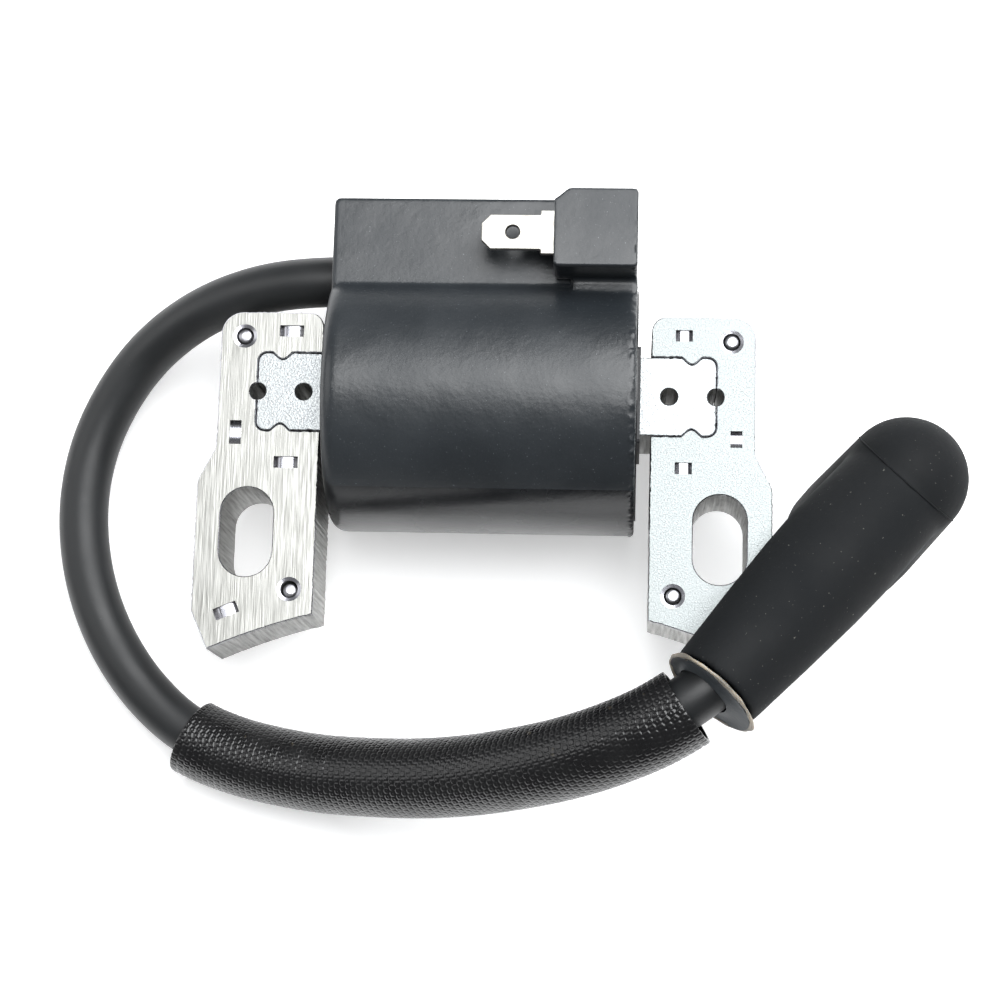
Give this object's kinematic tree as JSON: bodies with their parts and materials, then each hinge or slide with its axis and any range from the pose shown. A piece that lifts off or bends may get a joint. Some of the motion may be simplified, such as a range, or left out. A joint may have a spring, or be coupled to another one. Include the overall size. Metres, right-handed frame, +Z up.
{
  "type": "small engine ignition coil",
  "caption": "Flywheel ignition coil: a laminated core with slotted mounting legs, a potted barrel with a module and spade terminal, and a sleeved lead ending in an elbow plug boot.",
  "frame": {"origin": "bottom centre of the coil without its lead and boot; the winding barrel's lowest line is at Z = 0", "axes": "+X along the core bar, towards the boot's side; +Y from the pole faces to the module block; +Z up, towards the side with the spade terminal"},
  "size_m": [0.1265, 0.0828, 0.0418],
  "materials": {
    "laminated_steel": "satin, brushed along the stack",
    "zinc_steel": "zinc grey, matt",
    "rivet_steel": "bright, cut ends",
    "tinned_brass": "bright tin plate",
    "brass": "satin",
    "copper_wire": "enamelled copper",
    "housing_plastic": "fine matt, moulded",
    "potting_resin": "cast, uneven",
    "bobbin_plastic": "moulded",
    "lead_rubber": "satin black",
    "sleeve_braid": "glossy coated weave",
    "boot_rubber": "matt charcoal",
    "seal_silicone": "translucent, pale tan",
    "board_laminate": "green, matt",
    "package_plastic": "moulded",
    "ceramic": "glazed"
  },
  "bodies": {
    "coil": {"core_bar": "zinc_steel", "left_leg": "laminated_steel", "right_leg": "laminated_steel", "left_upper_rivet": "rivet_steel", "left_lower_rivet": "rivet_steel", "right_upper_rivet": "rivet_steel", "right_lower_rivet": "rivet_steel", "housing": "housing_plastic", "potting": "potting_resin", "primary_bobbin": "bobbin_plastic", "primary_winding": "copper_wire", "secondary_bobbin": "bobbin_plastic", "secondary_winding_1": "copper_wire", "secondary_winding_2": "copper_wire", "secondary_winding_3": "copper_wire", "circuit_board": "board_laminate", "switching_transistor": "package_plastic", "filter_capacitor": "ceramic", "bias_resistor": "ceramic", "clamp_diode": "package_plastic", "ground_strap": "brass", "stop_terminal": "tinned_brass", "high_tension_pin": "brass", "lead_jacket": "lead_rubber", "lead_conductor": "copper_wire", "lead_sleeve": "sleeve_braid", "crimp_ferrule": "brass", "collar_seal": "seal_silicone"},
    "boot": {"boot_shell": "boot_rubber", "plug_clip": "brass"}
  },
  "joints": [
    {"name": "boot_swivel", "type": "hinge", "parent": "coil", "child": "boot", "pos_m": [0.056, -0.0066, 0.0268], "axis": [-0.6404, -0.7393, 0.2079], "range_deg": [-10, 180]}
  ]
}
